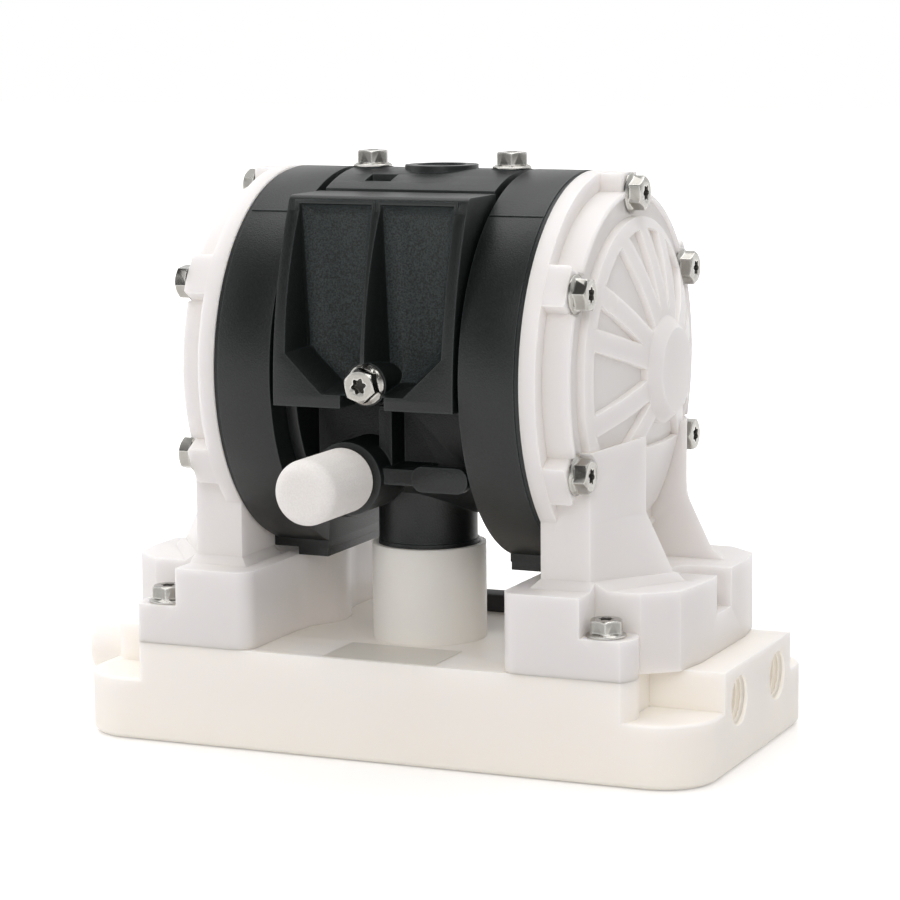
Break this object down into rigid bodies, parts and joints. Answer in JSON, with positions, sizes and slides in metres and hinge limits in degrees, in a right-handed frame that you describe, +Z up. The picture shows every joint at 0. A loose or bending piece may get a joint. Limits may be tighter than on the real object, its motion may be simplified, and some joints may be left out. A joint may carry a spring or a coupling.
{
  "type": "air operated diaphragm pump",
  "caption": "Small double diaphragm pump: two ribbed fluid covers and a black air section on a moulded manifold base, with an exhaust silencer.",
  "frame": {"origin": "middle of the face that the base stands on", "axes": "+Z up, +X along the diaphragm shaft towards the ported end of the base, -Y towards the silencer"},
  "size_m": [0.1887, 0.1242, 0.1571],
  "materials": {
    "base": "satin, translucent",
    "covers": "satin, translucent",
    "black": "fine grained",
    "stainless": "bright stainless",
    "silencer": "porous matte",
    "rubber": "matte",
    "diaphragm": "matte",
    "aluminium": "machined",
    "acetal": "satin",
    "bronze": "machined",
    "grey_plastic": "satin"
  },
  "bodies": {
    "pump": {"base_manifold": "base", "fluid_cover_left": "covers", "fluid_cover_right": "covers", "air_cover_left": "black", "air_cover_right": "black", "centre_housing": "black", "top_cap": "black", "valve_cover": "black", "exhaust_silencer": "silencer", "rim_bolts": "stainless", "foot_bolts": "stainless", "top_bolts": "stainless", "valve_cover_bolt": "stainless", "air_cover_screws": "stainless", "air_cover_gaskets": "rubber", "shaft_seals": "rubber", "shaft_bushes": "bronze", "valve_block": "grey_plastic", "valve_gasket": "rubber", "valve_end_plugs": "acetal", "diaphragm_left": "diaphragm", "diaphragm_right": "diaphragm", "inlet_seats": "stainless", "outlet_seats": "stainless", "outlet_spring_left": "stainless", "outlet_spring_right": "stainless", "rear_block": "rubber"},
    "shaft": {"diaphragm_shaft": "stainless", "air_plate_left": "aluminium", "air_plate_right": "aluminium", "fluid_plate_left": "acetal", "fluid_plate_right": "acetal"},
    "pilot": {"pilot_rod": "stainless"},
    "spool": {"valve_spool": "aluminium", "spool_rings": "rubber"},
    "inlet_ball_left": {"inlet_ball_left": "acetal"},
    "inlet_ball_right": {"inlet_ball_right": "acetal"},
    "outlet_ball_left": {"outlet_ball_left": "acetal"},
    "outlet_ball_right": {"outlet_ball_right": "acetal"}
  },
  "joints": [
    {"name": "shaft_slide", "type": "slide", "parent": "pump", "child": "shaft", "axis": [1, 0, 0], "range_m": [-0.00485, 0.00485], "deforming": ["diaphragm_left", "diaphragm_right"]},
    {"name": "pilot_slide", "type": "slide", "parent": "pump", "child": "pilot", "axis": [1, 0, 0], "range_m": [-0.00175, 0.00175]},
    {"name": "spool_slide", "type": "slide", "parent": "pump", "child": "spool", "axis": [1, 0, 0], "range_m": [0, 0.0053]},
    {"name": "inlet_left_lift", "type": "slide", "parent": "pump", "child": "inlet_ball_left", "axis": [0, 0, 1], "range_m": [0, 0.0026]},
    {"name": "inlet_right_lift", "type": "slide", "parent": "pump", "child": "inlet_ball_right", "axis": [0, 0, 1], "range_m": [0, 0.0026]},
    {"name": "outlet_left_drop", "type": "slide", "parent": "pump", "child": "outlet_ball_left", "axis": [0, 0, -1], "range_m": [0, 0.0026], "stiffness_N_per_m": 60, "springref_m": -0.002, "deforming": ["outlet_spring_left"]},
    {"name": "outlet_right_drop", "type": "slide", "parent": "pump", "child": "outlet_ball_right", "axis": [0, 0, -1], "range_m": [0, 0.0026], "stiffness_N_per_m": 60, "springref_m": -0.002, "deforming": ["outlet_spring_right"]}
  ],
  "couplings": [
    {"joint": "pilot_slide", "follows": "shaft_slide", "ratio": 0.3608}
  ]
}
